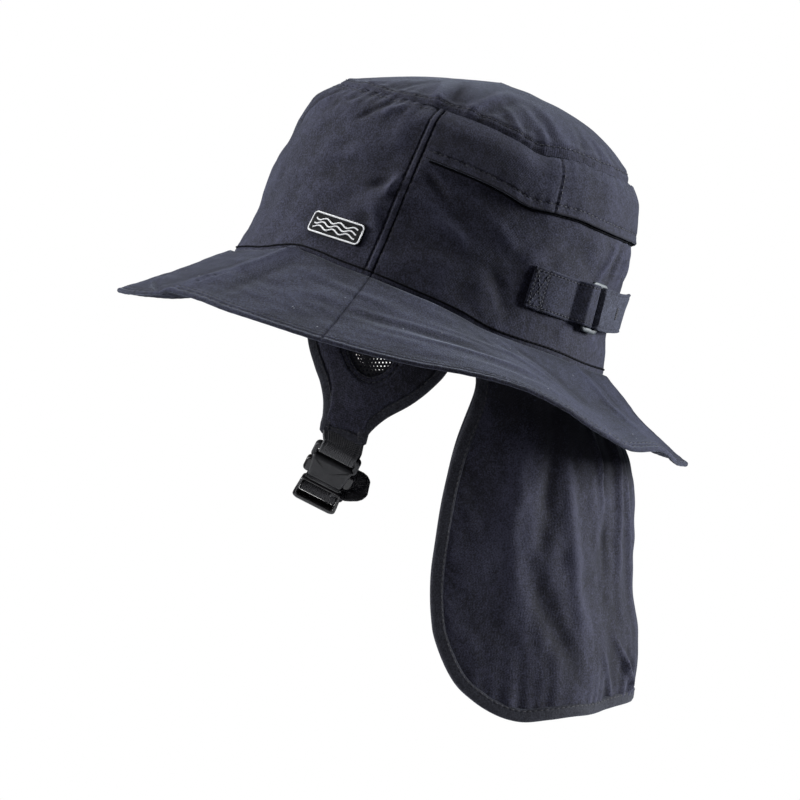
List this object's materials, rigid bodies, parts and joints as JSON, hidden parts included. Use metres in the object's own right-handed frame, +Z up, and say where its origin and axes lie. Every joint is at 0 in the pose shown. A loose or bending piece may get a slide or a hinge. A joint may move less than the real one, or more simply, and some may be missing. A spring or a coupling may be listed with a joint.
{
  "type": "surf hat",
  "caption": "Soft surf hat with a puffed crown, an all-round brim, padded ear flaps joined by a buckled chin strap, a long bound neck flap and a rear size adjuster.",
  "frame": {"origin": "centre of the head opening, in the plane of the crown's foot, where the hat sits on a head", "axes": "+Z up, -Y towards the front of the hat, +X towards the wearer's left; the hat is worn tilted back by 18.5 degrees about X"},
  "size_m": [0.2766, 0.2989, 0.3287],
  "materials": {
    "crown_cloth": "matt peached microfibre",
    "brim_cloth": "matt peached microfibre, slightly washed out",
    "flap_cloth": "matt peached microfibre",
    "trim": "matt woven binding",
    "webbing": "matt woven strap",
    "net": "matt knitted mesh",
    "label_cloth": "satin woven label",
    "buckle_plastic": "satin moulded",
    "slider_plastic": "satin moulded"
  },
  "bodies": {
    "root": {"crown_front": "crown_cloth", "crown_back": "crown_cloth", "crown_top": "crown_cloth", "crown_yoke": "crown_cloth", "brim_front": "brim_cloth", "brim_back": "brim_cloth", "label": "label_cloth", "rear_strap": "crown_cloth", "adjuster_tab_left": "crown_cloth", "adjuster_tab_right": "crown_cloth", "slider_left": "slider_plastic", "slider_right": "slider_plastic", "ear_flap_left": "flap_cloth", "ear_flap_right": "flap_cloth", "ear_binding_left": "trim", "ear_binding_right": "trim", "ear_net_left": "net", "ear_net_right": "net", "neck_flap": "flap_cloth", "neck_binding": "trim", "buckle_socket": "buckle_plastic", "buckle_plug": "buckle_plastic", "webbing_left": "webbing", "webbing_right": "webbing"}
  },
  "joints": []
}
